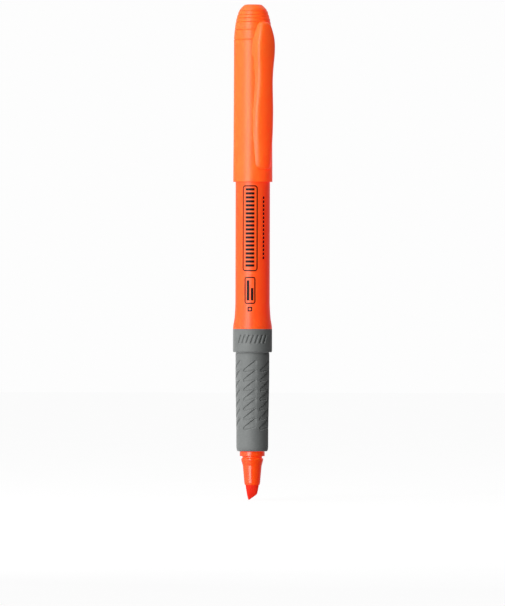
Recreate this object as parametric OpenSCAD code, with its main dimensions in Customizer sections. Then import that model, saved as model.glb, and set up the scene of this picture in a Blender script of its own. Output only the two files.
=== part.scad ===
// Capped highlighter pen, standing nib down with its cap posted on the tail.
// Millimetres. Z runs up the pen's axis, and Z = 0 is the lowest point of the writing tip.
// The printed front of the barrel faces -Y.

/* [Barrel] */
// Outside diameter of the straight, printed length
barrel_d = 10.3; // [10.26:0.01:10.32]
// Inside diameter of the ink chamber
chamber_d = 8.5; // [8.2:0.1:8.6]
// Number of long ribs that centre the ink reservoir
barrel_ribs = 4; // [3:1:6]

/* [Grip] */
// Outside diameter of the collar that the cap butts against
collar_d = 11.74; // [11.6:0.02:11.8]
// Outside diameter of the sleeve just below the collar
sleeve_d = 10.16; // [10.0:0.02:10.2]
// Outside diameter of the sleeve at its nib end
sleeve_nib_d = 9.6; // [9.4:0.05:9.8]

/* [Grip pattern] */
// Number of columns of finger pockets around the sleeve
pocket_columns = 6; // [4:1:6]
// Number of pockets in each column
pocket_rows = 7; // [4:1:7]
// Depth of the pockets in the rubber
pocket_depth = 0.22; // [0.05:0.01:0.26]
// Depth of the slanted slots in the collar
slot_depth = 0.3; // [0.05:0.05:0.4]

/* [Nib] */
// Diameter of the nib's round stem
nib_d = 4.0; // [3.8:0.1:4.0]
// Slant of the chisel edge, in degrees
nib_slant = 35.5; // [25:0.5:40]
// Thickness of the chisel edge
nib_edge = 1.1; // [0.8:0.1:1.6]

/* [Cap] */
// Outside diameter at the cap's open rim
cap_rim_d = 11.76; // [11.7:0.02:11.9]
// Outside diameter just below the stepped dome
cap_neck_d = 11.48; // [11.4:0.02:11.6]
// Inside diameter of the sleeve that slides over the barrel
cap_bore_d = 10.44; // [10.42:0.01:10.5]
// How far the cap is turned on the barrel at rest, from the front towards +X, in degrees
clip_turn = 37; // [0:1:359]
// Number of fine rings around the crown
crown_rings = 6; // [0:1:6]
// Lean of the clip's flanks along its free tongue, in degrees
clip_lean = 26; // [0:1:30]
// Free gap between the clip and the cap's wall
clip_gap = 0.26; // [0.2:0.02:0.5]

/* [Hidden] */
$fn = 96;

// Heights along the pen
z_nib_exit   = 4.5;    // the nib leaves its holder
z_ledge      = 13.15;  // underside of the holder's sealing flange
z_grip_end   = 14.6;   // nib end of the rubber
z_spigot     = 15.2;   // nib end of the barrel's spigot
z_step       = 44.25;  // collar's lower ledge
z_collar_top = 51.3;   // rubber meets the barrel
z_straight   = 58.6;   // straight, printed length starts
z_draft      = 95.0;   // straight length ends, and the tail's draft starts
z_rim        = 95.4;   // cap's open rim when posted
z_tail       = 123.95; // end of the barrel tube
z_plug       = 125.15; // end of the tail plug
z_shoulder   = 125.2;  // shoulder inside the cap that stops the tail
z_cup        = 125.6;  // mouth of the inner cap
z_hinge      = 133.2;  // where the clip bends
z_neck       = 138.05; // dome starts
z_top        = 148.6;  // flat top of the cap

rb = barrel_d / 2;
rc = chamber_d / 2;
r_spigot = 4.2;
r_spigot_bore = 3.45;
rn = nib_d / 2;
r_core = 3.2;
r_film = 3.34;
r_bore = cap_bore_d / 2;
r_upper = 4.72;        // cap's bore above the shoulder
z_core0 = 25.5;
z_core1 = 113.5;
fit = 0.02;            // clearance between pieces that are pushed together

function lerp(a, b, t) = a + (b - a) * t;
// Height-to-size lookup along a list of [z, value] pairs, in straight steps
function look(tab, z, i = 0) =
    i >= len(tab) - 1 ? tab[len(tab) - 1][1]
    : z <= tab[0][0] ? tab[0][1]
    : z <= tab[i + 1][0] ? lerp(tab[i][1], tab[i + 1][1], (z - tab[i][0]) / (tab[i + 1][0] - tab[i][0]))
    : look(tab, z, i + 1);
module turned(points) { rotate_extrude() polygon(points); }

// ---------- barrel ----------
flare = [[51.3, collar_d / 2], [52.0, 5.79], [52.9, 5.68], [53.8, 5.52], [54.7, 5.39],
         [55.6, 5.31], [56.5, 5.26], [57.4, 5.21], [z_straight, rb]];

module barrel() {
    color([0.97, 0.36, 0.10]) union() {
        turned(concat(
            [[r_spigot_bore, z_spigot], [r_spigot - 0.15, z_spigot], [r_spigot, z_spigot + 0.3],
             [r_spigot, 47.0], [r_spigot + 0.15, 47.3], [r_spigot + 0.15, 47.9], [r_spigot, 48.2],
             [r_spigot, z_collar_top]],
            [for (p = flare) [p[1], p[0]]],
            [[rb, z_draft], [rb - 0.13, z_tail - 0.3], [rb - 0.4, z_tail],
             [rc, z_tail], [rc, 54.0], [r_spigot_bore, 51.0]]));
        for (i = [0 : barrel_ribs - 1])
            rotate(i * 360 / barrel_ribs + 45)
                translate([3.44, -0.3, 54.5]) cube([rc + 0.3 - 3.44, 0.6, 115.5 - 54.5]);
    }
}

// ---------- tail plug ----------
module tail_plug() {
    color([0.95, 0.34, 0.10]) union() {
        turned([[0, z_tail - 1.0], [3.4, z_tail - 1.0], [3.4, 118.4], [rc - 0.35, 118.0], [rc - fit, 118.7],
                [rc - fit, z_tail], [rb - 0.42, z_tail], [rb - 0.2, z_tail + 0.25], [rb - 0.2, z_plug - 0.6],
                [rb - 0.34, z_plug - 0.25], [rb - 0.65, z_plug], [3.2, z_plug], [2.9, z_plug - 0.3], [0, z_plug - 0.3]]);
        // cross of fins that holds the reservoir against the nib
        for (a = [0, 90])
            rotate(a) translate([-3.0, -0.35, z_core1 + 0.25]) cube([6.0, 0.7, z_tail - 0.5 - z_core1 - 0.25]);
    }
}

// ---------- rubber grip ----------
sleeve = [[16.0, sleeve_nib_d / 2 - 0.01], [20, sleeve_nib_d / 2], [23.8, sleeve_nib_d / 2 + 0.05],
          [29.8, lerp(sleeve_nib_d, sleeve_d, 0.58) / 2], [34.6, lerp(sleeve_nib_d, sleeve_d, 0.85) / 2],
          [39.0, sleeve_d / 2 - 0.01], [z_step, sleeve_d / 2]];

module grip_tube() {
    turned(concat(
        [[3.8, z_grip_end], [4.3, z_grip_end], [4.5, 14.72], [4.64, 15.0], [4.74, 15.45]],
        [for (p = sleeve) [p[1], p[0]]],
        [[collar_d / 2 - 0.15, z_step + 0.08], [collar_d / 2 - 0.02, z_step + 0.3],
         [collar_d / 2, z_step + 0.6], [collar_d / 2, z_collar_top - fit],
         [r_spigot + fit, z_collar_top - fit], [r_spigot + fit, 48.25], [r_spigot + 0.15 + fit, 47.95],
         [r_spigot + 0.15 + fit, 47.25], [r_spigot + fit, 46.95],
         [r_spigot + fit, z_spigot - 0.22], [3.8, z_spigot - 0.22]]));
}

// One pocket seen from outside: round at its lower left end, and widening towards its upper right end
module pocket_outline() {
    translate([-2.2, 0]) circle(r = 0.52);
    polygon([[-2.53, 0.40], [0.75, 3.0], [1.15, 3.05], [1.4, 2.8], [1.4, 0.75], [0.95, 0.5], [-1.95, -0.45]]);
}

module grip_pockets() {
    intersection() {
        turned(concat([for (p = sleeve) if (p[0] > 18 && p[0] < 44) [p[1] - pocket_depth, p[0]]],
                      [[sleeve_d / 2 - pocket_depth, 43.4], [6, 43.4], [6, 20]]));
        for (c = [0 : pocket_columns - 1], i = [0 : pocket_rows - 1])
            rotate(c * 360 / pocket_columns) translate([0, -3.9, 21.5 + 2.885 * i])
                rotate([90, 0, 0]) linear_extrude(2) pocket_outline();
    }
}

module grip_sleeve() {
    color([0.47, 0.48, 0.48]) difference() {
        grip_tube();
        grip_pockets();
        // slanted slots moulded into the collar, front and back
        for (a = [0, 180], i = [-3 : 3])
            rotate(a + i * 13.5) translate([0, -collar_d / 2 + slot_depth, 48.25]) rotate([90, 0, 0])
                linear_extrude(1) polygon([[-0.74, -1.25], [-0.14, -1.25], [0.74, 1.25], [0.14, 1.25]]);
    }
}

// ---------- nib holder ----------
module nib_holder() {
    color([0.94, 0.28, 0.10]) difference() {
        turned([[rn + fit, z_nib_exit], [rn + 0.14, z_nib_exit], [rn + 0.27, 4.75], [rn + 0.37, 5.4],
                [2.84, 10.4], [2.88, 10.5], [3.31, 12.0], [3.33, 12.15], [3.27, 12.35], [2.92, 12.9],
                [2.92, z_ledge], [3.7, z_ledge], [3.75, z_ledge + 0.1], [3.75, 14.5], [3.3, 14.55],
                [3.3, 15.0], [4.05, z_spigot - fit - 0.12], [4.05, z_spigot - fit], [r_spigot_bore - fit, z_spigot - fit],
                [r_spigot_bore - fit, 23.2], [r_spigot_bore - 0.3, 23.8], [2.75, 23.8], [2.55, 18.5],
                [rn + fit, 17.5]]);
        // air channels beside the nib
        for (a = [0 : 90 : 270])
            rotate(a + 45) translate([rn - 0.4, -0.25, 6.5]) cube([0.75, 0.5, 12.5]);
    }
}

// ---------- nib ----------
nib_front = [[-1.05, 0.0], [1.50, (1.50 + 1.05) * tan(nib_slant)], [1.58, 2.05], [1.76, 3.1],
             [rn + 0.1, 4.4], [rn + 0.1, 40], [-rn - 0.1, 40], [-rn - 0.1, 4.4], [-1.76, 3.1], [-1.55, 1.9], [-1.2, 0.3]];
nib_side = [[-nib_edge / 2, -0.1], [nib_edge / 2, -0.1], [nib_edge / 2 + 0.12, 0.6], [rn + 0.1, 4.3], [rn + 0.1, 40],
            [-rn - 0.1, 40], [-rn - 0.1, 4.3], [-nib_edge / 2 - 0.12, 0.6]];

module chisel_nib() {
    color([0.90, 0.17, 0.10]) intersection() {
        turned([[0, -0.2], [rn, -0.2], [rn, 25.2], [1.25, 30.2], [0, 30.6]]);
        translate([0, 3, 0]) rotate([90, 0, 0]) linear_extrude(6) polygon(nib_front);
        translate([-3, 0, 0]) rotate([90, 0, 90]) linear_extrude(6) polygon(nib_side);
    }
}

// ---------- ink reservoir and its film ----------
module ink_reservoir() {
    color([0.98, 0.45, 0.15]) difference() {
        translate([0, 0, z_core0]) cylinder(r = r_core, h = z_core1 - z_core0);
        // pocket that the nib's tail presses into the fibres
        turned([[0, 24], [2.2, 24], [rn + 0.03, 25.26], [1.28, 30.23], [0, 30.66]]);
    }
}

module reservoir_film() {
    color([0.92, 0.92, 0.94]) difference() {
        turned([[r_core + fit, z_core0 - 0.2], [r_film, z_core0 - 0.2], [r_film, z_core1 + 0.2], [r_core + fit, z_core1 + 0.2]]);
        // air slit along the back
        translate([-0.25, 2.6, z_core0 - 1]) cube([0.5, 1.2, z_core1 - z_core0 + 2]);
    }
}

// ---------- inner cap: the cup that seals the nib ----------
module inner_cap() {
    color([0.96, 0.62, 0.42]) turned([
        [3.86, z_cup], [4.02, z_cup], [4.14, z_cup + 0.3], [4.14, 133.6], [r_upper - 0.3, 134.0],
        [r_upper - 0.04, 134.2], [r_upper - 0.04, 136.8], [r_upper - 0.3, 137.0], [4.14, 137.4],
        [4.14, 141.2], [3.9, 141.7], [0, 141.7], [0, 140.95], [3.5, 140.95], [3.62, 140.7],
        [3.62, 127.4], [3.74, 127.2], [3.74, z_cup + 0.15]]);
}

// ---------- cap shell ----------
rr = cap_rim_d / 2;
rk = cap_neck_d / 2;
function body_r(z) = look([[z_rim, rr], [106, rr - 0.065], [119.8, rk + 0.03], [131.8, rk], [z_neck, rk]], z);

// The crown as [radius, height] of each ring, from the neck up
crown = [[rk, 137.2], [rk - 0.005, z_neck], [5.50, 141.0], [5.17, 143.37], [4.93, 144.51], [4.62, 145.53], [4.23, 146.67]];
// Points at ring i: a fine groove, or only the crown's own surface where the ring is left out
function crown_step(i) = i > crown_rings
    ? [crown[i]]
    : let (t = (crown[i][0] - crown[i - 1][0]) / (crown[i][1] - crown[i - 1][1]))
      [[crown[i][0] - 0.08 * t + 0.03, crown[i][1] - 0.08], [crown[i][0] - 0.13, crown[i][1]],
       [crown[i][0] + 0.08 * t, crown[i][1] + 0.08]];

// Outer radius of the clip about the pen's axis
clip_out = [[99.15, 6.15], [99.35, 6.38], [99.7, 6.54], [100.2, 6.64], [101.3, 6.71], [103.5, 6.76], [106.5, 6.82],
            [111, 6.94], [117.4, 7.10], [121, 7.19], [125.8, 7.31], [129, 7.46], [132, 7.62], [133.5, 7.72],
            [135, 7.80], [136.5, 7.82], [138.5, 7.73], [140.2, 7.48], [141.4, 7.22], [142.2, 6.96], [142.7, 6.66],
            [143.1, 6.21], [143.4, 5.60], [143.5, 5.10]];
// Half width of the clip's outer face, seen from outside
clip_half = [[99.15, 0.45], [99.3, 0.88], [99.6, 1.24], [100.05, 1.50], [101.3, 1.80], [103.2, 2.05], [106.6, 2.45],
             [109, 2.67], [112, 2.83], [115.5, 2.88], [117.4, 2.84], [120, 2.68], [123, 2.48], [125.8, 2.37],
             [128, 2.45], [130, 2.62], [132, 2.86], [134, 3.04], [136, 3.06], [138, 2.86], [139.5, 2.58],
             [141, 2.22], [142.3, 1.82], [142.9, 1.44], [143.3, 0.9], [143.5, 0.3]];
// Inner radius of the free tongue
clip_in = [[99.15, body_r(99) + 0.16], [99.8, body_r(99.8) + 0.13], [101.5, body_r(101.5) + 0.11],
           [103.2, body_r(103.2) + 0.14], [106.5, body_r(106.5) + clip_gap * 0.8], [112, body_r(112) + clip_gap],
           [124.5, body_r(124.5) + clip_gap], [z_hinge, body_r(133) + clip_gap + 0.04]];

// One flank of the clip: everything on the inner side of a face that leans outwards as it nears the cap.
// x_edge is how far out the flank meets the outer face.
module clip_side(z0, z1, lean, x_edge) {
    zs = concat([z0], [for (p = clip_half) if (p[0] > z0 + 0.05 && p[0] < z1 - 0.05) p[0]], [z1]);
    translate([x_edge, 0, 0]) rotate(-lean) translate([-4.6, 0, 0]) rotate([90, 0, 90]) linear_extrude(6.6)
        polygon(concat([for (z = zs) [look(clip_half, z) * cos(lean), z]], [[-12, z1], [-12, z0]]));
}

module clip_plan(z0, z1, lean, x_edge) {
    intersection() {
        clip_side(z0, z1, lean, x_edge);
        mirror([0, 1, 0]) clip_side(z0, z1, lean, x_edge);
    }
}

module knuckle(r, half) { translate([6.72, half, z_hinge]) rotate([90, 0, 0]) cylinder(r = r, h = 2 * half); }

// Turns the clip's local +X to where the clip points
module at_clip() { rotate(clip_turn - 90) children(); }

module cap_shell() {
    color([0.97, 0.42, 0.14]) union() {
        difference() {
            turned(concat(
                [[r_bore + 0.12, z_rim], [rr - 0.06, z_rim], [rr, z_rim + 0.12],
                 [body_r(106), 106], [body_r(119.8), 119.8], [body_r(131.8), 131.8]],
                [for (i = [1 : len(crown) - 1], p = crown_step(i)) p],
                [[3.72, 147.42], [3.45, 147.74], [3.0, 148.16], [2.75, 148.36], [2.4, 148.52], [1.9, z_top], [0, z_top]],
                [[0, 146.7], [2.6, 146.7], [3.2, 145.9], [3.9, 143.6], [4.3, 141.6], [r_upper, 138.6],
                 [r_upper, z_shoulder], [r_bore, z_shoulder], [r_bore, z_rim + 0.4]]));
        }
        // solid root that the clip grows from
        at_clip() difference() {
            intersection() {
                turned(concat([[5.2, z_hinge + 0.12], [5.2, 138.0], [4.9, 140.6], [4.6, 143.0], [4.6, 143.5]],
                              [for (i = [len(clip_out) - 1 : -1 : 0]) if (clip_out[i][0] > z_hinge + 0.2) [clip_out[i][1], clip_out[i][0]]],
                              [[look(clip_out, z_hinge + 0.12), z_hinge + 0.12]]));
                clip_plan(z_hinge + 0.12, 143.5, 12, 7.2);
            }
            knuckle(0.56, 4);
        }
        // crush ribs inside the sleeve
        for (a = [0 : 60 : 300])
            rotate(a) translate([r_bore - 0.05, -0.25, 97.5]) cube([0.3, 0.5, 14]);
    }
}

// ---------- clip tongue ----------
module pocket_clip() {
    color([0.97, 0.40, 0.13]) at_clip() union() {
        intersection() {
            turned(concat([for (p = clip_out) if (p[0] < z_hinge - 0.2) [p[1], p[0]]],
                          [[look(clip_out, z_hinge - 0.05), z_hinge - 0.05]],
                          [for (i = [len(clip_in) - 1 : -1 : 0]) [clip_in[i][1], min(clip_in[i][0], z_hinge - 0.05)]]));
            clip_plan(99.15, z_hinge - 0.05, clip_lean, 6.55);
        }
        knuckle(0.5, 2.6);
    }
}

barrel();
tail_plug();
grip_sleeve();
nib_holder();
chisel_nib();
ink_reservoir();
reservoir_film();
inner_cap();
cap_shell();
pocket_clip();
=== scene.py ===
import bpy, bmesh, math
import numpy as np
from mathutils import Vector, Matrix


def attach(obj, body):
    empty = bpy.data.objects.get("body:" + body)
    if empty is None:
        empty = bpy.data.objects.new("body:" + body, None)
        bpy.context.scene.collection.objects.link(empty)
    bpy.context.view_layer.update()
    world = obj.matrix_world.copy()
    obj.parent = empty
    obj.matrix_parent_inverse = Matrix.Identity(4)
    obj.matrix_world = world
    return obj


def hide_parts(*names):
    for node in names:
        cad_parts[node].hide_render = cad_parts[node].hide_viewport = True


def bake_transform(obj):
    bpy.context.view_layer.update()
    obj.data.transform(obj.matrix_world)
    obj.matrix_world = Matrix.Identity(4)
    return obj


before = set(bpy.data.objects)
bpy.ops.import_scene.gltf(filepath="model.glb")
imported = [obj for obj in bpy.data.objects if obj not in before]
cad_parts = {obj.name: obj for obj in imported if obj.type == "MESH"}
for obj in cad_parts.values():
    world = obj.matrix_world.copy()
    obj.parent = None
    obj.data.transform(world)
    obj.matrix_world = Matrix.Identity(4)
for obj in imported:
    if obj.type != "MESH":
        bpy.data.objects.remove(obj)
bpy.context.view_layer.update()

MM = 0.001
scene = bpy.context.scene

# ------------------------------------------------------------------ geometry helpers


def pchip(xs, ys, x):
    """Smooth curve through the points that never overshoots them."""
    xs, ys, x = np.asarray(xs, float), np.asarray(ys, float), np.asarray(x, float)
    h = np.diff(xs)
    d = np.diff(ys) / h
    m = np.zeros_like(ys)
    for i in range(1, len(xs) - 1):
        if d[i - 1] * d[i] > 0:
            w1, w2 = 2 * h[i] + h[i - 1], h[i] + 2 * h[i - 1]
            m[i] = (w1 + w2) / (w1 / d[i - 1] + w2 / d[i])
    m[0], m[-1] = d[0], d[-1]
    k = np.clip(np.searchsorted(xs, x) - 1, 0, len(xs) - 2)
    t = np.clip((x - xs[k]) / h[k], 0, 1)
    t2, t3 = t * t, t * t * t
    return ((2 * t3 - 3 * t2 + 1) * ys[k] + (t3 - 2 * t2 + t) * h[k] * m[k]
            + (-2 * t3 + 3 * t2) * ys[k + 1] + (t3 - t2) * h[k] * m[k + 1])


def smoothstep(a, b, x):
    t = np.clip((x - a) / (b - a), 0, 1)
    return t * t * (3 - 2 * t)


def rounded(points, seg=4, closed=True):
    """Corner rounding: a point is (u, v) or (u, v, radius)."""
    out, n = [], len(points)
    for i, p in enumerate(points):
        rad = p[2] if len(p) > 2 else 0.0
        a, b, c = (np.array(points[(i + k) % n][:2], float) for k in (-1, 0, 1))
        if rad <= 0 or (not closed and i in (0, n - 1)):
            out.append(tuple(b))
            continue
        u, v = a - b, c - b
        lu, lv = np.linalg.norm(u), np.linalg.norm(v)
        u, v = u / lu, v / lv
        ang = math.acos(max(-1, min(1, float(u @ v))))
        if ang > math.radians(176) or ang < 1e-3:
            out.append(tuple(b))
            continue
        t = min(rad / math.tan(ang / 2), 0.47 * lu, 0.47 * lv)
        r = t * math.tan(ang / 2)
        mid = (u + v) / np.linalg.norm(u + v)
        centre = b + mid * (r / math.sin(ang / 2))
        s, e = b + u * t - centre, b + v * t - centre
        a0, a1 = math.atan2(s[1], s[0]), math.atan2(e[1], e[0])
        da = (a1 - a0 + math.pi) % (2 * math.pi) - math.pi
        for k in range(seg + 1):
            q = a0 + da * k / seg
            out.append((centre[0] + r * math.cos(q), centre[1] + r * math.sin(q)))
    return out


def supported(profile, gap=0.05, longer=0.35):
    """Adds a point close to each end of every long stretch, so that smooth shading stays on the roundings."""
    out, n = [], len(profile)
    for i in range(n):
        a, b = np.array(profile[i], float), np.array(profile[(i + 1) % n], float)
        out.append(tuple(a))
        l = np.linalg.norm(b - a)
        if l > longer:
            out.append(tuple(a + (b - a) * gap / l))
            out.append(tuple(b - (b - a) * gap / l))
    return out


def finish_mesh(name, verts, faces, sharp=38, weighted=True):
    me = bpy.data.meshes.new(name)
    me.from_pydata([(x * MM, y * MM, z * MM) for x, y, z in verts], [], faces)
    bm = bmesh.new()
    bm.from_mesh(me)
    bmesh.ops.remove_doubles(bm, verts=bm.verts, dist=1e-7)
    bmesh.ops.recalc_face_normals(bm, faces=bm.faces)
    bm.to_mesh(me)
    bm.free()
    me.shade_smooth()
    me.set_sharp_from_angle(angle=math.radians(sharp))
    ob = bpy.data.objects.new(name, me)
    scene.collection.objects.link(ob)
    if weighted:
        w = ob.modifiers.new("normals", "WEIGHTED_NORMAL")
        w.keep_sharp = True
    return ob


def revolve(name, profile, n=160, sharp=38):
    """Turns a closed outline of (r, z) points about the pen's axis."""
    verts, rings, faces = [], [], []
    for r, z in profile:
        if r < 1e-6:
            rings.append([len(verts)])
            verts.append((0, 0, z))
        else:
            rings.append(list(range(len(verts), len(verts) + n)))
            verts += [(r * math.cos(2 * math.pi * k / n), r * math.sin(2 * math.pi * k / n), z) for k in range(n)]
    for i in range(len(rings)):
        a, b = rings[i], rings[(i + 1) % len(rings)]
        if len(a) == 1 and len(b) == 1:
            continue
        for k in range(n):
            q = (k + 1) % n
            if len(a) == 1:
                faces.append((a[0], b[k], b[q]))
            elif len(b) == 1:
                faces.append((a[k], a[q], b[0]))
            else:
                faces.append((a[k], a[q], b[q], b[k]))
    return finish_mesh(name, verts, faces, sharp)


def loft(name, rings, sharp=38, weighted=True):
    """Joins rings of points, all of one length, and closes both ends."""
    verts, faces, n = [], [], len(rings[0])
    for ring in rings:
        verts += [tuple(p) for p in ring]
    for i in range(len(rings) - 1):
        for k in range(n):
            q = (k + 1) % n
            faces.append((i * n + k, i * n + q, (i + 1) * n + q, (i + 1) * n + k))
    for i, ring in ((0, rings[0]), (len(rings) - 1, rings[-1])):
        verts.append(tuple(np.mean(np.array(ring), axis=0)))
        c = len(verts) - 1
        for k in range(n):
            faces.append((i * n + k, i * n + (k + 1) % n, c))
    return finish_mesh(name, verts, faces, sharp, weighted)


# ------------------------------------------------------------------ materials


def lin(r, g, b):
    f = lambda c: c / 12.92 if c <= 0.04045 else ((c + 0.055) / 1.055) ** 2.4
    return (f(r / 255), f(g / 255), f(b / 255), 1)


class Mat:
    """A Principled material with small helpers to build its nodes."""

    def __init__(self, name, **values):
        self.mat = bpy.data.materials.new(name)
        self.mat.use_nodes = True
        self.nt = self.mat.node_tree
        self.bsdf = self.nt.nodes["Principled BSDF"]
        self.set(**values)
        self.coord = self.node("ShaderNodeTexCoord").outputs["Object"]

    def node(self, kind, **attrs):
        n = self.nt.nodes.new(kind)
        for k, v in attrs.items():
            setattr(n, k, v)
        return n

    def link(self, a, b):
        self.nt.links.new(a, b)

    def set(self, **values):
        for k, v in values.items():
            self.bsdf.inputs[k.replace("_", " ")].default_value = v

    def mapping(self, scale=(1, 1, 1), rot=(0, 0, 0)):
        m = self.node("ShaderNodeMapping")
        m.inputs["Scale"].default_value = scale
        m.inputs["Rotation"].default_value = rot
        self.link(self.coord, m.inputs["Vector"])
        return m.outputs["Vector"]

    def noise(self, scale, detail=4, rough=0.55, vector=None):
        n = self.node("ShaderNodeTexNoise")
        n.inputs["Scale"].default_value = scale
        n.inputs["Detail"].default_value = detail
        n.inputs["Roughness"].default_value = rough
        self.link(vector or self.coord, n.inputs["Vector"])
        return n.outputs["Fac"]

    def ramp(self, fac, stops):
        r = self.node("ShaderNodeValToRGB")
        e = r.color_ramp.elements
        e[0].position, e[0].color = stops[0]
        e[1].position, e[1].color = stops[-1]
        for p, c in stops[1:-1]:
            x = e.new(p)
            x.color = c
        self.link(fac, r.inputs["Fac"])
        return r.outputs["Color"]

    def math(self, op, a, b):
        m = self.node("ShaderNodeMath", operation=op)
        for i, x in enumerate((a, b)):
            if hasattr(x, "links"):
                self.link(x, m.inputs[i])
            else:
                m.inputs[i].default_value = x
        return m.outputs[0]

    def range(self, x, a0, a1, b0, b1):
        m = self.node("ShaderNodeMapRange")
        for k, v in (("From Min", a0), ("From Max", a1), ("To Min", b0), ("To Max", b1)):
            m.inputs[k].default_value = v
        self.link(x, m.inputs["Value"])
        return m.outputs["Result"]

    def bump(self, height, distance, strength=1.0, over=None):
        b = self.node("ShaderNodeBump")
        b.inputs["Distance"].default_value = distance
        b.inputs["Strength"].default_value = strength
        self.link(height, b.inputs["Height"])
        if over is not None:
            self.link(over, b.inputs["Normal"])
        return b.outputs["Normal"]

    def mix(self, fac, a, b):
        m = self.node("ShaderNodeMix", data_type="RGBA")
        for k, v in ((0, fac), (6, a), (7, b)):
            if hasattr(v, "links"):
                self.link(v, m.inputs[k])
            else:
                m.inputs[k].default_value = v
        return m.outputs[2]

    def put(self, socket, out):
        self.link(out, self.bsdf.inputs[socket])


def plastic(name, colour, deep, rough, painted_glow, sss=0.55, coat=0.0, grain=1.0, ior=1.47, coat_rough=0.06):
    """Moulded fluorescent plastic: a little light passes through it, and an even painted glow stands in for the
    pigment's fluorescence and lifts its shaded side.
    """
    m = Mat(name, Roughness=rough, IOR=ior, Subsurface_Weight=sss, Subsurface_Scale=0.0035,
            Subsurface_Radius=(1.0, 0.08, 0.03), Coat_Weight=coat, Coat_Roughness=coat_rough,
            Emission_Color=painted_glow[0], Emission_Strength=painted_glow[1])
    drift = m.noise(160, 3, 0.5)
    streak = m.noise(90, 4, 0.6, m.mapping(scale=(6, 6, 0.6)))
    blend = m.math("ADD", m.math("MULTIPLY", drift, 0.5), m.math("MULTIPLY", streak, 0.5))
    m.put("Base Color", m.mix(m.range(blend, 0.35, 0.65, 0.0, 1.0), deep, colour))
    m.put("Roughness", m.range(m.noise(1500, 3, 0.6), 0.3, 0.7, rough - 0.03, rough + 0.04))
    fine = m.noise(9000, 2, 0.5)
    soft = m.noise(700, 3, 0.5)
    n = m.bump(fine, 0.0000025 * grain, 0.7)
    m.put("Normal", m.bump(soft, 0.000006 * grain, 0.5, n))
    return m.mat


# The glow given to each plastic below is painted light: an even emission that keeps the shaded sides bright, not a
# lamp.
cap_mat = plastic("cap_plastic", lin(236, 119, 36), lin(233, 113, 32), 0.34, (lin(255, 54, 26), 0.41))
barrel_mat = plastic("barrel_plastic", lin(232, 103, 28), lin(229, 97, 25), 0.33, (lin(255, 32, 26), 0.43))
plug_mat = plastic("plug_plastic", lin(230, 96, 24), lin(224, 86, 20), 0.30, (lin(255, 50, 20), 0.38))
holder_mat = plastic("holder_plastic", lin(226, 90, 12), lin(220, 80, 8), 0.22, (lin(255, 42, 20), 0.42), sss=0.25, coat=0.5, grain=0.0, ior=1.5, coat_rough=0.10)
liner_mat = plastic("inner_cap_plastic", lin(240, 190, 160), lin(235, 182, 150), 0.42, (lin(255, 120, 60), 0.02), sss=0.7)


def rubber():
    m = Mat("grip_rubber", Roughness=0.62, IOR=1.5, Sheen_Weight=0.9, Sheen_Roughness=0.4)
    broad = m.noise(220, 4, 0.55)
    fine = m.noise(2600, 4, 0.6)
    tone = m.math("ADD", m.math("MULTIPLY", broad, 0.6), m.math("MULTIPLY", fine, 0.4))
    m.put("Base Color", m.ramp(tone, [(0.38, lin(111, 114, 113)), (0.62, lin(123, 126, 125))]))
    m.put("Roughness", m.range(m.noise(1800, 3, 0.6), 0.3, 0.7, 0.54, 0.7))
    pores = m.noise(14000, 3, 0.65)
    n = m.bump(pores, 0.000008, 0.7)
    m.put("Normal", m.bump(fine, 0.000012, 0.5, n))
    return m.mat


def felt():
    """Bonded fibre soaked in ink: long fibres along the nib."""
    # The even red emission is a painted glow that lifts the nib's shaded side; it is not a lamp.
    m = Mat("nib_fibre", Roughness=0.72, Subsurface_Weight=0.35, Subsurface_Scale=0.0012,
            Subsurface_Radius=(1.0, 0.12, 0.05), Emission_Color=lin(255, 40, 16), Emission_Strength=0.42, Specular_IOR_Level=0.25)
    fibres = m.noise(2600, 6, 0.7, m.mapping(scale=(3.2, 3.2, 0.22)))
    cross = m.noise(5200, 4, 0.6)
    tone = m.math("ADD", m.math("MULTIPLY", fibres, 0.75), m.math("MULTIPLY", cross, 0.25))
    m.put("Base Color", m.ramp(tone, [(0.36, lin(168, 20, 8)), (0.5, lin(206, 32, 12)), (0.66, lin(222, 48, 18))]))
    m.put("Roughness", m.range(cross, 0.3, 0.7, 0.6, 0.85))
    n = m.bump(fibres, 0.00006, 0.8)
    m.put("Normal", m.bump(cross, 0.00002, 0.6, n))
    return m.mat


def core():
    # The faint even emission is a painted glow, not a lamp.
    m = Mat("reservoir_fibre", Roughness=0.9, Subsurface_Weight=0.3, Subsurface_Scale=0.001,
            Subsurface_Radius=(1.0, 0.3, 0.1), Emission_Color=lin(255, 80, 20), Emission_Strength=0.05)
    fibres = m.noise(3000, 6, 0.7, m.mapping(scale=(3, 3, 0.06)))
    m.put("Base Color", m.ramp(fibres, [(0.35, lin(226, 96, 34)), (0.65, lin(252, 150, 76))]))
    m.put("Normal", m.bump(fibres, 0.00008, 0.9))
    return m.mat


def film():
    m = Mat("clear_film", Roughness=0.08, IOR=1.5, Transmission_Weight=0.7)
    crease = m.noise(400, 4, 0.6, m.mapping(scale=(1, 1, 0.3)))
    m.put("Base Color", m.ramp(crease, [(0.3, lin(226, 228, 232)), (0.7, lin(244, 244, 248))]))
    m.put("Normal", m.bump(crease, 0.00004, 0.5))
    return m.mat


def ink():
    """Pad-printed black: thin, slightly glossy, with a faint mottle."""
    m = Mat("print_ink", Roughness=0.5, IOR=1.45, Specular_IOR_Level=0.2)
    mottle = m.noise(4200, 4, 0.65)
    m.put("Base Color", m.ramp(mottle, [(0.3, lin(16, 5, 4)), (0.7, lin(8, 3, 3))]))
    m.put("Roughness", m.range(mottle, 0.3, 0.7, 0.3, 0.5))
    m.put("Normal", m.bump(mottle, 0.000003, 0.6))
    return m.mat


rubber_mat, nib_mat, core_mat, film_mat, ink_mat = rubber(), felt(), core(), film(), ink()


def give(ob, mat, body=None, replaces=()):
    ob.data.materials.clear()
    ob.data.materials.append(mat)
    if replaces:
        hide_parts(*replaces)
    if body:
        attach(ob, body)
    return ob


# ------------------------------------------------------------------ cap

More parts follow.
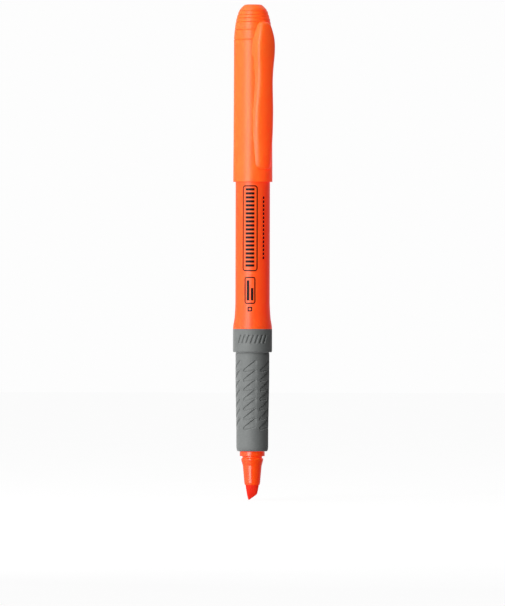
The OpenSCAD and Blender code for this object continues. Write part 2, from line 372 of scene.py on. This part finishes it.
# six rings run round the crown: each is a shallow step with a fine groove at its foot
CROWN = [(5.74, 137.2), (5.735, 138.06), (5.50, 141.00), (5.17, 143.37), (4.93, 144.51), (4.62, 145.53), (4.23, 146.67)]
RINGS = [138.06, 141.00, 143.37, 144.51, 145.53, 146.67]


def crown(z0=137.2, z1=146.95):
    """(r, z) up the crown: the smooth outline with the rings cut in."""
    z = np.unique(np.round(np.r_[np.arange(z0, z1, 0.15), z1, np.arange(142.9, 147.0, 0.03),
                                 np.add.outer(RINGS, [-0.20, -0.16, -0.12, -0.08, -0.04, 0, 0.04, 0.08, 0.12, 0.16, 0.20]).ravel()], 2))
    z = z[(z >= z0) & (z <= z1)]
    r = pchip([q[1] for q in CROWN] + [147.5], [q[0] for q in CROWN] + [3.72], z)
    for k in RINGS:
        r = r - 0.19 * np.exp(-((z - k) / 0.075) ** 2) + 0.05 * smoothstep(k - 0.75, k - 0.12, z) * (1 - smoothstep(k - 0.12, k, z))
    return [(float(a), float(b)) for a, b in zip(r, z)]


cap_outline = rounded([(5.34, 95.40), (5.88, 95.40, 0.11), (5.815, 106.0), (5.77, 119.8), (5.74, 131.8)] + crown() + [
    (3.72, 147.42, 0.6), (3.00, 148.16, 0.9), (2.50, 148.54, 0.6), (1.9, 148.60),
    (0.0, 148.60), (0.0, 146.70), (2.60, 146.70, 0.4), (3.20, 145.90, 0.6), (3.90, 143.60, 1.0), (4.30, 141.60, 1.0),
    (4.72, 138.60, 0.6), (4.72, 125.20), (5.22, 125.20, 0.05), (5.22, 95.80, 0.1),
], seg=4)
cap = revolve("cap_tube", supported(cap_outline), n=192)
give(cap, cap_mat, "cap", ["cap_shell"])


def block(x0, x1, y0, y1, z0, z1, spin, soft=0.06, seg=3):
    """A long block with rounded edges, from z0 to z1, turned about the axis."""
    prof = rounded([(x0, y0, soft), (x1, y0, soft), (x1, y1, soft), (x0, y1, soft)], seg)
    c, s = math.cos(spin), math.sin(spin)
    rings = []
    for z, k in ((z0, 0.5), (z0 + soft * 0.4, 0.85), (z0 + soft, 1.0), (z1 - soft, 1.0), (z1 - soft * 0.4, 0.85), (z1, 0.5)):
        cx, cy = (x0 + x1) / 2, (y0 + y1) / 2
        inset = soft * (1 - k)
        ring = []
        for x, y in prof:
            px = cx + (x - cx) * (1 - 2 * inset / (x1 - x0))
            py = cy + (y - cy) * (1 - 2 * inset / (y1 - y0))
            ring.append((px * c - py * s, px * s + py * c, z))
        rings.append(ring)
    return rings


def joined(name, parts, sharp=38):
    """Several closed lofts in one piece."""
    verts, faces = [], []
    for rings in parts:
        base, n = len(verts), len(rings[0])
        for ring in rings:
            verts += [tuple(p) for p in ring]
        for i in range(len(rings) - 1):
            for k in range(n):
                q = (k + 1) % n
                faces.append((base + i * n + k, base + i * n + q, base + (i + 1) * n + q, base + (i + 1) * n + k))
        for i in (0, len(rings) - 1):
            verts.append(tuple(np.mean(np.array(rings[i]), axis=0)))
            c = len(verts) - 1
            for k in range(n):
                faces.append((base + i * n + k, base + i * n + (k + 1) % n, c))
    return finish_mesh(name, verts, faces, sharp)


crush = joined("cap_crush_ribs", [block(5.17, 5.50, -0.25, 0.25, 97.5, 111.5, math.radians(a)) for a in range(0, 360, 60)])
give(crush, cap_mat, "cap")

# ------------------------------------------------------------------ clip

CLIP = math.radians(37 - 90)
OUT = [(99.15, 6.15), (99.35, 6.38), (99.7, 6.54), (100.2, 6.64), (101.3, 6.71), (103.5, 6.76), (106.5, 6.82), (111, 6.94), (117.4, 7.10),
       (121, 7.19), (125.8, 7.31), (129, 7.46), (132, 7.62), (133.5, 7.72), (135, 7.80), (136.5, 7.82), (138.5, 7.73),
       (140.2, 7.48), (141.4, 7.22), (142.2, 6.96), (142.7, 6.66), (143.1, 6.21), (143.4, 5.60), (143.5, 5.10)]
HALF = [(99.15, 0.80), (99.3, 1.12), (99.6, 1.36), (100.05, 1.55), (101.3, 1.80), (103.2, 2.05), (106.6, 2.45), (109, 2.67), (112, 2.83),
        (115.5, 2.88), (117.4, 2.84), (120, 2.68), (123, 2.48), (125.8, 2.37), (128, 2.45), (130, 2.62), (132, 2.86), (134, 3.04), (136, 3.06),
        (138, 2.86), (139.5, 2.58), (141, 2.22), (142.3, 1.82), (142.9, 1.44), (143.3, 0.9), (143.5, 0.3)]
LEAN = [(99.15, 46), (99.8, 46), (101.5, 41), (104, 36.5), (107.4, 32.5), (112, 27), (117, 24), (125.8, 24), (131, 18), (135, 11.5), (138, 12), (140, 9.5), (143.5, 8)]


def cap_r(z):
    return np.interp(z, [95.4, 106, 119.8, 131.8, 138.05], [5.88, 5.815, 5.77, 5.74, 5.74])


def clip_inner(z):
    free = np.interp(z, [99.15, 99.8, 101.5, 103.2, 106.5, 112, 124.5, 133.0],
                     [cap_r(99.15) + 0.16, cap_r(99.8) + 0.13, cap_r(101.5) + 0.11, cap_r(103.2) + 0.14,
                      cap_r(106.5) + 0.21, cap_r(112) + 0.26, cap_r(124.5) + 0.26, cap_r(133) + 0.30])
    root = np.interp(z, [133.0, 138.0, 140.6, 143.0, 143.5], [5.2, 5.2, 4.9, 4.6, 4.5])
    return free + (root - free) * smoothstep(133.0, 133.5, z)


def bend(a, b, c, n):
    """n + 1 points of a smooth turn from a to c about the corner b."""
    return [tuple((1 - t) ** 2 * a + 2 * t * (1 - t) * b + t * t * c) for t in np.linspace(0, 1, n + 1)]


def clip_section(z):
    """The clip across at height z: x outwards from the axis, y across. Crowned outside, flanks leaning out, hollow inside."""
    lean = math.radians(float(pchip(*zip(*LEAN), z)))
    ro, h, ri = float(pchip(*zip(*OUT), z)), float(pchip(*zip(*HALF), z)) * 1.03, float(clip_inner(z))
    ri = min(ri, ro - 0.10)
    corner = np.array([math.sqrt(ro * ro - h * h), h])
    d = np.array([-math.cos(lean), math.sin(lean)])
    b, c = float(corner @ d), float(corner @ corner) - ri * ri
    t = max(-b - math.sqrt(max(b * b - c, 0.0)), 0.06) if b * b > c else 0.9 * abs(b)
    foot = corner + d * t
    over = min(1.05, 0.62 * h)
    down = min(1.05, 0.62 * t)
    lip = min(0.16, 0.30 * t)
    qc = math.asin(h / ro)
    qi = math.atan2(foot[1], foot[0])
    qe, qj = qc - over / ro, qi - lip / ri
    on = lambda r, q: np.array([r * math.cos(q), r * math.sin(q)])
    half = bend(on(ro, qe), corner, corner + d * down, 8) + [tuple(corner + d * (down + (t - lip - down) * 0.5))]
    half += bend(foot - d * lip, foot, on(np.linalg.norm(foot), qj), 4)
    rr = np.linalg.norm(foot)
    crown_pts = [tuple(on(ro, q)) for q in np.linspace(-qe, qe, 11)[1:-1]]
    under = [tuple(on(rr, q)) for q in np.linspace(qj, -qj, 9)[1:-1]]
    mirror = [(x, -y) for x, y in reversed(half)]
    return crown_pts + half + under + mirror


def clip_rings():
    zs = np.r_[99.15 + 2.35 * (1 - np.cos(np.linspace(0, math.pi / 2, 14))), np.arange(102.0, 141.01, 0.75),
               143.5 - 2.1 * np.cos(np.linspace(0, math.pi / 2, 14))]
    zs = np.unique(np.round(np.r_[zs, 132.9, 133.05, 133.2, 133.35, 133.5], 4))
    c, s = math.cos(CLIP), math.sin(CLIP)
    return [[(x * c - y * s, x * s + y * c, z) for x, y in clip_section(z)] for z in zs]


clip = loft("cap_clip", clip_rings(), sharp=50)
give(clip, cap_mat, None, ["pocket_clip"])
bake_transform(clip)

# ------------------------------------------------------------------ barrel

FLARE = [(51.3, 5.875), (52.0, 5.80), (52.6, 5.735), (53.2, 5.63), (53.8, 5.525), (54.4, 5.43), (55.3, 5.345), (56.8, 5.25),
         (58.0, 5.19), (59.2, 5.15)]
flare = [(float(pchip(*zip(*FLARE), z)), z) for z in np.arange(51.5, 59.2, 0.3)]
barrel_outline = rounded([
    (3.45, 15.20), (4.05, 15.20, 0.05), (4.20, 15.50, 0.1), (4.20, 47.0), (4.35, 47.3, 0.1), (4.35, 47.9, 0.1), (4.20, 48.2),
    (4.20, 51.30), (5.875, 51.30, 0.09)] + flare + [
    (5.15, 59.2), (5.15, 95.0), (5.02, 123.65, 0.2), (4.75, 123.95, 0.1), (4.25, 123.95, 0.03), (4.25, 54.0), (3.45, 51.0)], seg=4)
barrel = revolve("barrel_tube", supported(barrel_outline), n=192)
give(barrel, barrel_mat, "pen", ["barrel"])
ribs = joined("chamber_ribs", [block(3.44, 4.45, -0.3, 0.3, 54.5, 115.5, math.radians(a)) for a in (45, 135, 225, 315)])
give(ribs, barrel_mat, "pen")

# ------------------------------------------------------------------ grip

GRIP = [(14.72, 4.50), (15.0, 4.64), (15.45, 4.745), (16.0, 4.79), (20, 4.80), (23.8, 4.85), (29.8, 4.965), (34.6, 5.045),
        (39, 5.075), (43.6, 5.08)]


def poly_sdf(px, py, poly):
    """Signed distance to a polygon, below 0 inside."""
    d = np.full(px.shape, 1e9)
    inside = np.zeros(px.shape, bool)
    n = len(poly)
    for i in range(n):
        ax, ay = poly[i]
        bx, by = poly[(i + 1) % n]
        ex, ey = bx - ax, by - ay
        wx, wy = px - ax, py - ay
        t = np.clip((wx * ex + wy * ey) / (ex * ex + ey * ey), 0, 1)
        d = np.minimum(d, np.hypot(wx - ex * t, wy - ey * t))
        cross = (ay > py) != (by > py)
        with np.errstate(divide="ignore", invalid="ignore"):
            xi = ax + (py - ay) * ex / np.where(ey == 0, 1e-9, ey)
        inside ^= cross & (px < xi)
    return np.where(inside, -d, d)


POCKET = [(-2.66, 0.42), (0.75, 3.0), (1.15, 3.08), (1.45, 2.80), (1.45, 0.55), (1.0, 0.30), (0.75, 0.14), (0.42, 0.08), (-1.90, -0.50)]


def grip_depth(theta, z, r):
    """How far the finger pockets and the collar's slots cut into the rubber, in mm."""
    sector = math.radians(60)
    u = r * ((theta + sector / 2) % sector - sector / 2)
    cut = np.zeros_like(z)
    for i in range(7):
        v = z - (21.5 + 2.885 * i)
        for shift in (-1, 0, 1):
            uu = u + shift * sector * r
            near = (np.abs(v - 1.5) < 2.6) & (np.abs(uu) < 3.6)
            if not near.any():
                continue
            a, b = uu[near], v[near]
            sd = np.minimum(poly_sdf(a, b, POCKET), np.hypot(a + 2.35, b) - 0.54)
            s = (a + 2.74) * 0.7955 + (b - 0.36) * 0.606
            w = (a + 2.74) * 0.606 - (b - 0.36) * 0.7955
            ramp = 1 - 0.72 * np.clip(w / 1.75, 0, 1) * smoothstep(-0.3, 1.6, s)
            edge = 1 - smoothstep(0.75, 1.5, a)
            d = 0.25 * smoothstep(0.06, -0.12, sd) * ramp * (0.25 + 0.75 * edge)
            d = np.minimum(d, 0.25 * np.clip((1.55 - a) / 0.5, 0, 1))
            d = d * (0.62 + 0.38 * smoothstep(0.2, 2.6, s)) + 0.125 * np.exp(-((sd + 0.125) / 0.118) ** 2) * (1 - smoothstep(0.2, 1.3, a))
            cut[near] = np.maximum(cut[near], d)
    for face in (0, math.pi):
        for i in range(-3, 4):
            t = (theta - face - math.radians(13.5 * i) + math.pi) % (2 * math.pi) - math.pi
            a, b = t * 5.87, z - 48.25
            near = (np.abs(a) < 1.6) & (np.abs(b) < 1.9)
            sd = poly_sdf(a[near], b[near], [(-0.74, -1.25), (-0.14, -1.25), (0.74, 1.25), (0.14, 1.25)]) - 0.03
            cut[near] = np.maximum(cut[near], 0.34 * smoothstep(0.04, -0.10, sd))
    return cut


def make_grip(n=360):
    zs = np.unique(np.round(np.r_[np.linspace(14.72, 16, 9), np.arange(16, 20.5, 0.5), np.arange(20.5, 43.0, 0.1), np.arange(43.0, 43.8, 0.2)], 4))
    rows = [(float(pchip(*zip(*GRIP), z)), float(z)) for z in zs]
    rows += [(5.08, 43.85), (5.03, 43.95), (4.99, 44.08), (4.985, 44.22), (5.0, 44.28), (5.10, 44.30), (5.66, 44.33), (5.74, 44.36),
             (5.81, 44.44), (5.85, 44.57), (5.87, 44.75)]
    rows += [(5.875, float(z)) for z in np.arange(45.0, 46.6, 0.4)] + [(5.875, float(z)) for z in np.arange(46.6, 49.9, 0.09)]
    rows += [(5.875, float(z)) for z in (50.3, 50.8, 51.1)] + [(5.86, 51.19), (5.82, 51.25), (5.76, 51.28)]
    inner = [(4.22, 51.28), (4.22, 48.25), (4.37, 47.95), (4.37, 47.25), (4.22, 46.95), (4.22, 14.98), (3.80, 14.98), (3.80, 14.62), (3.82, 14.6),
             (4.26, 14.60), (4.38, 14.63), (4.45, 14.67)]
    theta = np.linspace(0, 2 * math.pi, n, endpoint=False)
    T, Z = np.meshgrid(theta, np.array([z for r, z in rows]))
    R = np.array([r for r, z in rows])[:, None] * np.ones((1, n))
    R = R - grip_depth(T, Z, R)
    ri, zi = np.array([r for r, z in inner]), np.array([z for r, z in inner])
    R = np.vstack([R, ri[:, None] * np.ones((1, n))])
    Z = np.vstack([Z, zi[:, None] * np.ones((1, n))])
    T = np.vstack([T, np.ones((len(inner), 1)) * theta[None, :]])
    # the angle runs from the front, -Y, towards +X
    X, Y = R * np.sin(T), -R * np.cos(T)
    m = R.shape[0]
    verts = np.c_[X.ravel(), Y.ravel(), Z.ravel()]
    k = np.arange(n)
    q = (k + 1) % n
    faces = []
    for i in range(m):
        j = (i + 1) % m
        faces += np.c_[i * n + k, i * n + q, j * n + q, j * n + k].tolist()
    return finish_mesh("rubber_grip", verts.tolist(), faces, sharp=60, weighted=False)


grip = give(make_grip(), rubber_mat, "pen", ["grip_sleeve"])

# ------------------------------------------------------------------ nib holder

holder_outline = rounded([
    (2.02, 4.62), (2.08, 4.50, 0.04), (2.20, 4.50, 0.10), (2.36, 5.05, 0.4), (2.84, 10.35, 0.12), (2.90, 10.50, 0.12),
    (3.31, 12.00, 0.12), (3.33, 12.20, 0.10), (3.22, 12.42, 0.10), (2.98, 12.62, 0.12), (2.96, 13.00, 0.10), (3.08, 13.15, 0.05), (3.75, 13.15, 0.12),
    (3.75, 14.50, 0.08), (3.30, 14.55), (3.30, 15.00), (4.05, 15.06), (4.05, 15.18), (3.43, 15.18), (3.43, 23.2, 0.1),
    (3.15, 23.8, 0.1), (2.75, 23.8), (2.55, 18.5), (2.02, 17.5)], seg=5)
holder = give(revolve("nib_cone", supported(holder_outline), n=160), holder_mat, "pen", ["nib_holder"])

# ------------------------------------------------------------------ nib


def nib_rings(n=72):
    """Rings that are level on the round stem and tilt down to the chisel's slanted edge."""
    rings = []
    q = np.linspace(0, 2 * math.pi, n, endpoint=False)
    ts = np.r_[[-0.016, -0.014, -0.009, 0.0], np.linspace(0.012, 1.0, 34)]
    inset = {0: 0.42, 1: 0.22, 2: 0.08, 3: 0.015}
    for i, t in enumerate(ts):
        tt = max(t, 0.0)
        slope = math.tan(math.radians(35.8)) * (1 - tt) ** 1.6
        # left and right edges seen from the front, and half thickness seen from the side, at this height
        zc = 0.93 + 4.0 * tt
        xl = float(np.interp(tt, [0, 0.10, 0.3, 0.62, 0.85, 1], [-1.10, -1.28, -1.52, -1.80, -1.97, -2.0]))
        xr = float(np.interp(tt, [0, 0.10, 0.3, 0.62, 0.85, 1], [1.50, 1.56, 1.70, 1.86, 1.98, 2.0]))
        hy = float(np.interp(tt, [0, 0.2, 0.5, 0.8, 1], [0.60, 0.90, 1.36, 1.82, 2.0]))
        p = float(np.interp(tt, [0, 0.35, 0.8, 1], [5.0, 3.4, 2.2, 2.0]))
        cx, hx_ = (xl + xr) / 2, (xr - xl) / 2
        off = inset.get(i, 0.0)
        ring = []
        for a in q:
            c, s = math.cos(a), math.sin(a)
            x = cx + (hx_ - off) * math.copysign(abs(c) ** (2 / p), c)
            y = (hy - off * 0.9) * math.copysign(abs(s) ** (2 / p), s)
            rad = math.hypot(x, y)
            if rad > 2.0:
                x, y = x * 2.0 / rad, y * 2.0 / rad
            ring.append((x, y, zc + slope * x + (t if t < 0 else 0) * 11.0))
        rings.append(ring)
    low = min(p[2] for ring in rings for p in ring)
    rings = [[(x, y, z - low * (1 - max(ts[i], 0)) ** 2) for x, y, z in ring] for i, ring in enumerate(rings)]
    for z, r in ((6.0, 2.0), (10.0, 2.0), (25.2, 2.0), (27.8, 1.62), (30.2, 1.25), (30.55, 0.6)):
        rings.append([(r * math.cos(a), r * math.sin(a), z) for a in q])
    return rings


nib = give(loft("felt_nib", nib_rings(), sharp=70, weighted=False), nib_mat, "pen", ["chisel_nib"])

core_outline = rounded([(1.994, 25.50), (3.20, 25.50, 0.08), (3.20, 113.50, 0.08), (0.0, 113.50), (0.0, 30.62), (0.70, 30.60), (1.28, 30.28)], seg=3)
give(revolve("fibre_core", supported(core_outline), n=96), core_mat, "pen", ["ink_reservoir"])

# ------------------------------------------------------------------ printing on the barrel


class Print:
    """Thin solids of ink that follow the barrel: the angle runs from the front towards +X."""

    def __init__(self, r=5.15, proud=0.012, sunk=0.03):
        self.ro, self.ri, self.verts, self.faces = r + proud, r - sunk, [], []

    def at(self, x, z, r):
        t = x / 5.15
        r += float(pchip(*zip(*FLARE), z)) - 5.15 if z < 59.2 else 0.0
        return (r * math.sin(t), -r * math.cos(t), z)

    def band(self, outer, inner):
        """A closed band between two outlines with the same number of points, in unrolled millimetres."""
        n, base = len(outer), len(self.verts)
        for loop, r in ((outer, self.ro), (inner, self.ro), (inner, self.ri), (outer, self.ri)):
            self.verts += [self.at(x, z, r) for x, z in loop]
        for k in range(n):
            q = (k + 1) % n
            for a, b in ((0, 1), (1, 2), (2, 3), (3, 0)):
                self.faces.append((base + a * n + k, base + a * n + q, base + b * n + q, base + b * n + k))

    def column(self, xs, lows, highs):
        """A filled shape with one stretch of ink at each x."""
        n, base = len(xs), len(self.verts)
        for r in (self.ro, self.ri):
            for x, lo, hi in zip(xs, lows, highs):
                self.verts += [self.at(x, lo, r), self.at(x, hi, r)]
        v = lambda side, i, top: base + side * 2 * n + 2 * i + top
        for i in range(n - 1):
            self.faces.append((v(0, i, 0), v(0, i + 1, 0), v(0, i + 1, 1), v(0, i, 1)))
            self.faces.append((v(1, i, 0), v(1, i, 1), v(1, i + 1, 1), v(1, i + 1, 0)))
            self.faces.append((v(0, i, 0), v(1, i, 0), v(1, i + 1, 0), v(0, i + 1, 0)))
            self.faces.append((v(0, i, 1), v(0, i + 1, 1), v(1, i + 1, 1), v(1, i, 1)))
        for i in (0, n - 1):
            self.faces.append((v(0, i, 0), v(0, i, 1), v(1, i, 1), v(1, i, 0)))

    def frame(self, x0, x1, z0, z1, rad, wide):
        def outline(x0, x1, z0, z1, rad):
            pts = []
            for cx, cz, a0 in ((x1 - rad, z1 - rad, 0), (x0 + rad, z1 - rad, 90), (x0 + rad, z0 + rad, 180), (x1 - rad, z0 + rad, 270)):
                pts += [(cx + rad * math.cos(math.radians(a0 + a)), cz + rad * math.sin(math.radians(a0 + a))) for a in range(0, 91, 9)]
                nx = {0: (x0 + rad, z1), 90: (x0, z0 + rad), 180: (x1 - rad, z0), 270: (x1, z1 - rad)}[a0]
                last = pts[-1]
                pts += [(last[0] + (nx[0] - last[0]) * k / 12, last[1] + (nx[1] - last[1]) * k / 12) for k in range(1, 12)]
            return pts
        self.band(outline(x0, x1, z0, z1, rad), outline(x0 + wide, x1 - wide, z0 + wide, z1 - wide, max(rad - wide, 0.05)))

    def stroke(self, x0, x1, z0, z1, slant=0.0, nose=0.0, steps=9):
        """A bar across the barrel that rises by slant, with rounded ends of the given length."""
        xs = np.linspace(x0, x1, steps)
        if nose > 0:
            xs = np.unique(np.r_[xs, x0 + nose * np.linspace(0, 1, 5), x1 - nose * np.linspace(0, 1, 5)])
        mid, half = (z0 + z1) / 2, (z1 - z0) / 2
        lo, hi = [], []
        for x in xs:
            e = min(x - x0, x1 - x)
            k = 1.0 if nose <= 0 or e >= nose else math.sqrt(max(1 - (1 - e / nose) ** 2, 0.02))
            m = mid + slant * ((x - x0) / (x1 - x0) - 0.5)
            lo.append(m - half * k)
            hi.append(m + half * k)
        self.column(xs, lo, hi)

    def make(self, name):
        return finish_mesh(name, self.verts, self.faces, sharp=30, weighted=False)


p = Print(proud=0.016)
# a plain rounded frame with equal straight bars across it, and a dashed line beside it
p.frame(-3.20, 1.50, 68.60, 94.30, 0.9, 0.34)
for i in range(20):
    p.stroke(-2.20, 0.50, 69.95 + 1.2 * i, 70.65 + 1.2 * i)
for i in range(16):
    p.stroke(3.20, 3.80, 72.20 + 1.2 * i, 73.00 + 1.2 * i, steps=5)
# a plain panel with two straight bars along the barrel, and a small square under it
p.frame(-2.50, 0.86, 58.80, 66.90, 0.7, 0.34)
p.stroke(-1.78, -1.00, 59.85, 65.85)
p.stroke(-0.50, 0.22, 59.85, 63.55)
p.frame(-1.50, -0.10, 56.55, 57.95, 0.25, 0.34)
print_ob = give(p.make("barrel_print"), ink_mat, "pen")

# ------------------------------------------------------------------ the pieces that the CAD already shapes

for node, mat in (("tail_plug", plug_mat), ("reservoir_film", film_mat), ("inner_cap", liner_mat)):
    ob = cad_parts[node]
    ob.data.materials.clear()
    ob.data.materials.append(mat)

# ------------------------------------------------------------------ stage, light and camera

scene.view_settings.view_transform = "Standard"
scene.view_settings.look = "None"
scene.view_settings.exposure = 0.0
scene.view_settings.gamma = 1.0

WORLD, PAPER = 1.35, 0.983
world = bpy.data.worlds.new("studio")
scene.world = world
world.use_nodes = True
nt = world.node_tree
nt.nodes.clear()


def wnode(kind, **values):
    n = nt.nodes.new(kind)
    for k, v in values.items():
        setattr(n, k, v)
    return n


# soft light by compass direction, 0 at the front and positive towards +X: a broad bank on the left, a dark
# room in front and on the right, and a strip behind on the right
AROUND = [(-180, 0.42), (-150, 0.40), (-120, 0.42), (-95, 0.62), (-72, 0.98), (-52, 1.02), (-34, 0.62), (-16, 0.22),
          (0, 0.08), (30, 0.03), (85, 0.03), (110, 0.12), (130, 0.34), (150, 0.42), (180, 0.42)]
coord = wnode("ShaderNodeTexCoord")
sep = wnode("ShaderNodeSeparateXYZ")
nt.links.new(coord.outputs["Generated"], sep.inputs[0])
flip = wnode("ShaderNodeMath", operation="MULTIPLY")
flip.inputs[1].default_value = -1
nt.links.new(sep.outputs["Y"], flip.inputs[0])
turn = wnode("ShaderNodeMath", operation="ARCTAN2")
nt.links.new(sep.outputs["X"], turn.inputs[0])
nt.links.new(flip.outputs[0], turn.inputs[1])
part = wnode("ShaderNodeMapRange")
for k, v in (("From Min", -math.pi), ("From Max", math.pi), ("To Min", 0), ("To Max", 1)):
    part.inputs[k].default_value = v
nt.links.new(turn.outputs[0], part.inputs["Value"])
wheel = wnode("ShaderNodeValToRGB")
wheel.color_ramp.interpolation = "B_SPLINE"
e = wheel.color_ramp.elements
for i, (deg, v) in enumerate(AROUND):
    x = e[0] if i == 0 else (e[-1] if i == len(AROUND) - 1 else e.new((deg + 180) / 360))
    x.position, x.color = (deg + 180) / 360, (v, v, v, 1)
nt.links.new(part.outputs["Result"], wheel.inputs["Fac"])
high = wnode("ShaderNodeMapRange")
for k, v in (("From Min", -0.9), ("From Max", 0.5), ("To Min", 0.35), ("To Max", 1.0)):
    high.inputs[k].default_value = v
nt.links.new(sep.outputs["Z"], high.inputs["Value"])
power = wnode("ShaderNodeMath", operation="MULTIPLY")
nt.links.new(wheel.outputs["Color"], power.inputs[0])
nt.links.new(high.outputs["Result"], power.inputs[1])
gain = wnode("ShaderNodeMath", operation="MULTIPLY")
gain.inputs[1].default_value = WORLD
nt.links.new(power.outputs[0], gain.inputs[0])
light = wnode("ShaderNodeBackground")
nt.links.new(gain.outputs[0], light.inputs["Strength"])
back = wnode("ShaderNodeBackground")
back.inputs["Strength"].default_value = PAPER
mixer = wnode("ShaderNodeMixShader")
path = wnode("ShaderNodeLightPath")
out = wnode("ShaderNodeOutputWorld")
nt.links.new(path.outputs["Is Camera Ray"], mixer.inputs["Fac"])
nt.links.new(light.outputs[0], mixer.inputs[1])
nt.links.new(back.outputs[0], mixer.inputs[2])
nt.links.new(mixer.outputs[0], out.inputs["Surface"])
back.inputs["Color"].default_value = (1, 1, 1, 1)
light.inputs["Color"].default_value = (1, 1, 1, 1)


def softbox(name, where, at, size, watts, colour=(1, 1, 1)):
    data = bpy.data.lights.new(name, "AREA")
    data.shape, data.size, data.size_y = "RECTANGLE", size[0], size[1]
    data.energy, data.color = watts, colour
    ob = bpy.data.objects.new(name, data)
    scene.collection.objects.link(ob)
    ob.location = where
    ob.rotation_mode = "QUATERNION"
    ob.rotation_quaternion = (Vector(at) - Vector(where)).to_track_quat("-Z", "Y")
    ob.visible_camera = False
    return ob


softbox("key", (-0.335, -0.57, 0.22), (0, 0, 0.22), (0.36, 0.95), 4.4)
softbox("top", (-0.25, -0.1, 0.70), (0, 0, 0.075), (0.4, 0.4), 0.5)

me = bpy.data.meshes.new("floor")
n = 96
me.from_pydata([(3.0 * math.cos(2 * math.pi * k / n), 3.0 * math.sin(2 * math.pi * k / n), -0.00005) for k in range(n)], [], [list(range(n))])
floor = bpy.data.objects.new("floor", me)
scene.collection.objects.link(floor)
fm = Mat("floor", Roughness=0.95, Specular_IOR_Level=0.0, Emission_Color=(1, 1, 1, 1), Emission_Strength=0.90)
fm.put("Base Color", fm.ramp(fm.noise(30, 3, 0.5), [(0.3, (0.13, 0.13, 0.13, 1)), (0.7, (0.14, 0.14, 0.14, 1))]))
me.materials.append(fm.mat)
floor.visible_diffuse = False
floor.visible_glossy = False
floor.visible_transmission = False
floor.visible_shadow = False

DIST, TALL = 2.5, 606 * 0.0003
cam_data = bpy.data.cameras.new("camera")
cam_data.sensor_width = 36
cam_data.lens = 36 * DIST / TALL
cam_data.clip_start, cam_data.clip_end = 0.1, 20
cam = bpy.data.objects.new("camera", cam_data)
scene.collection.objects.link(cam)
cam.location = (-0.00002, -DIST, (499.9 - 303) * 0.0003)
cam.rotation_euler = (math.radians(90), math.radians(-0.12), 0)
scene.camera = cam
